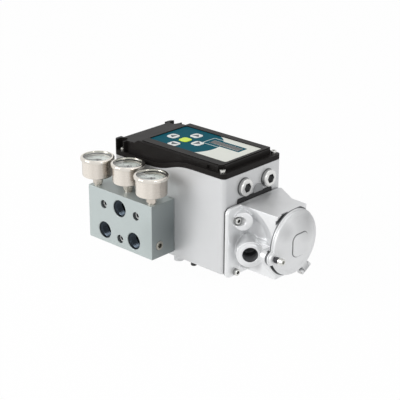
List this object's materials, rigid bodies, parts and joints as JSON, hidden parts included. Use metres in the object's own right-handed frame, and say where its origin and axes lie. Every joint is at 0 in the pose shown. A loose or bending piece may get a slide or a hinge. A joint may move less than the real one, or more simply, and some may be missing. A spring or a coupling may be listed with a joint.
{
  "type": "valve positioner",
  "caption": "Digital valve positioner: cast housing with keypad and display cover, pneumatic manifold block with pressure gauges, and hinged-lid terminal box with cable entry.",
  "frame": {"origin": "feedback shaft's axis on the plane of the four rear mounting bosses", "axes": "+Z along the shaft out through the keypad, +X towards the terminal box, +Y away from the manifold block"},
  "size_m": [0.2817, 0.156, 0.162],
  "materials": {
    "cast_housing": "satin",
    "rubber_seal": "matte",
    "moulded_cover": "satin",
    "screw_steel": "brushed",
    "overlay_print": "gloss",
    "key_white": "satin",
    "key_green": "satin",
    "display_window": "gloss",
    "display_glass": "gloss",
    "circuit_board": "gloss",
    "shaft_steel": "ground",
    "bush_bronze": "satin",
    "spring_steel": "blued",
    "gear_plastic": "satin",
    "gear_brass": "satin",
    "sensor_plastic": "satin",
    "sheet_aluminium": "satin",
    "standoff_brass": "satin",
    "converter_paint": "satin",
    "valve_aluminium": "anodised",
    "anodised_block": "anodised",
    "plug_steel": "polished",
    "gauge_steel": "turned",
    "black_plastic": "matte",
    "cast_box": "satin cast",
    "cast_cover": "satin cast",
    "strip_plastic": "matte",
    "gauge_case_steel": "brushed",
    "gauge_bezel_steel": "polished",
    "gauge_glass": "gloss",
    "dial_white": "satin",
    "pointer_black": "matte"
  },
  "bodies": {
    "positioner": {"housing": "cast_housing", "cover_gasket": "rubber_seal", "cover": "moulded_cover", "cover_screws": "screw_steel", "keypad_overlay": "overlay_print", "lcd_lens": "display_window", "lcd_module": "display_glass", "display_board": "circuit_board", "lower_bush": "bush_bronze", "upper_bush": "bush_bronze", "shaft_seal": "rubber_seal", "potentiometer": "sensor_plastic", "inner_frame": "sheet_aluminium", "board_standoffs": "standoff_brass", "main_board": "circuit_board", "ip_converter": "converter_paint", "valve_body": "valve_aluminium", "manifold_block": "anodised_block", "manifold_screws": "screw_steel", "manifold_plug": "plug_steel", "manifold_seals": "rubber_seal", "gauge_sockets": "gauge_steel", "gauge_tubes": "bush_bronze", "end_plugs": "plug_steel", "vent_plug": "black_plastic", "terminal_gasket": "rubber_seal", "terminal_box": "cast_box", "flange_screws": "screw_steel", "hinge_pin": "shaft_steel", "terminal_strip": "strip_plastic", "terminal_screws": "screw_steel", "gauge_1_case": "gauge_case_steel", "gauge_1_bezel": "gauge_bezel_steel", "gauge_1_lens": "gauge_glass", "gauge_1_dial": "dial_white", "gauge_2_case": "gauge_case_steel", "gauge_2_bezel": "gauge_bezel_steel", "gauge_2_lens": "gauge_glass", "gauge_2_dial": "dial_white", "gauge_3_case": "gauge_case_steel", "gauge_3_bezel": "gauge_bezel_steel", "gauge_3_lens": "gauge_glass", "gauge_3_dial": "dial_white"},
    "feedback": {"feedback_shaft": "shaft_steel", "drive_gear": "gear_plastic", "retaining_ring": "spring_steel"},
    "pinion": {"pot_pinion": "gear_brass"},
    "key_left": {"key_left": "key_white"},
    "key_right": {"key_right": "key_white"},
    "key_down": {"key_down": "key_white"},
    "key_up": {"key_up": "key_white"},
    "key_enter": {"key_enter": "key_green"},
    "pointer_1": {"gauge_1_pointer": "pointer_black"},
    "pointer_2": {"gauge_2_pointer": "pointer_black"},
    "pointer_3": {"gauge_3_pointer": "pointer_black"},
    "spool": {"valve_spool": "shaft_steel"},
    "terminal_lid": {"terminal_cover": "cast_cover", "terminal_cover_seal": "rubber_seal", "clamp_spring": "spring_steel"},
    "clamp": {"clamp_screw": "screw_steel"}
  },
  "joints": [
    {"name": "feedback_turn", "type": "hinge", "parent": "positioner", "child": "feedback", "pos_m": [0, 0, 0.01], "axis": [0, 0, 1], "range_deg": [-50, 50]},
    {"name": "pinion_turn", "type": "hinge", "parent": "positioner", "child": "pinion", "pos_m": [0.032, 0, 0.0325], "axis": [0, 0, 1], "range_deg": [-150, 150]},
    {"name": "key_left_press", "type": "slide", "parent": "positioner", "child": "key_left", "axis": [0, 0, -1], "range_m": [0, 0.0006], "stiffness_N_per_m": 800},
    {"name": "key_right_press", "type": "slide", "parent": "positioner", "child": "key_right", "axis": [0, 0, -1], "range_m": [0, 0.0006], "stiffness_N_per_m": 800},
    {"name": "key_down_press", "type": "slide", "parent": "positioner", "child": "key_down", "axis": [0, 0, -1], "range_m": [0, 0.0006], "stiffness_N_per_m": 800},
    {"name": "key_up_press", "type": "slide", "parent": "positioner", "child": "key_up", "axis": [0, 0, -1], "range_m": [0, 0.0006], "stiffness_N_per_m": 800},
    {"name": "key_enter_press", "type": "slide", "parent": "positioner", "child": "key_enter", "axis": [0, 0, -1], "range_m": [0, 0.0006], "stiffness_N_per_m": 800},
    {"name": "pointer_1_turn", "type": "hinge", "parent": "positioner", "child": "pointer_1", "pos_m": [-0.0728, -0.0828, 0.117], "axis": [0, 0, -1], "range_deg": [0, 270], "stiffness_Nm_per_rad": 0.0005},
    {"name": "pointer_2_turn", "type": "hinge", "parent": "positioner", "child": "pointer_2", "pos_m": [-0.0284, -0.0735, 0.117], "axis": [0, 0, -1], "range_deg": [0, 270], "stiffness_Nm_per_rad": 0.0005},
    {"name": "pointer_3_turn", "type": "hinge", "parent": "positioner", "child": "pointer_3", "pos_m": [0.021, -0.0828, 0.117], "axis": [0, 0, -1], "range_deg": [0, 270], "stiffness_Nm_per_rad": 0.0005},
    {"name": "spool_slide", "type": "slide", "parent": "positioner", "child": "spool", "axis": [1, 0, 0], "range_m": [-0.002, 0.002], "stiffness_N_per_m": 1500},
    {"name": "lid_swing", "type": "hinge", "parent": "positioner", "child": "terminal_lid", "pos_m": [0.172, 0.02254, 0.01483], "axis": [0, 0.8746, 0.4848], "range_deg": [0, 120]},
    {"name": "clamp_slide", "type": "slide", "parent": "terminal_lid", "child": "clamp", "axis": [1, 0, 0], "range_m": [0, 0.0055]}
  ],
  "couplings": [
    {"joint": "pinion_turn", "follows": "feedback_turn", "ratio": -3}
  ]
}
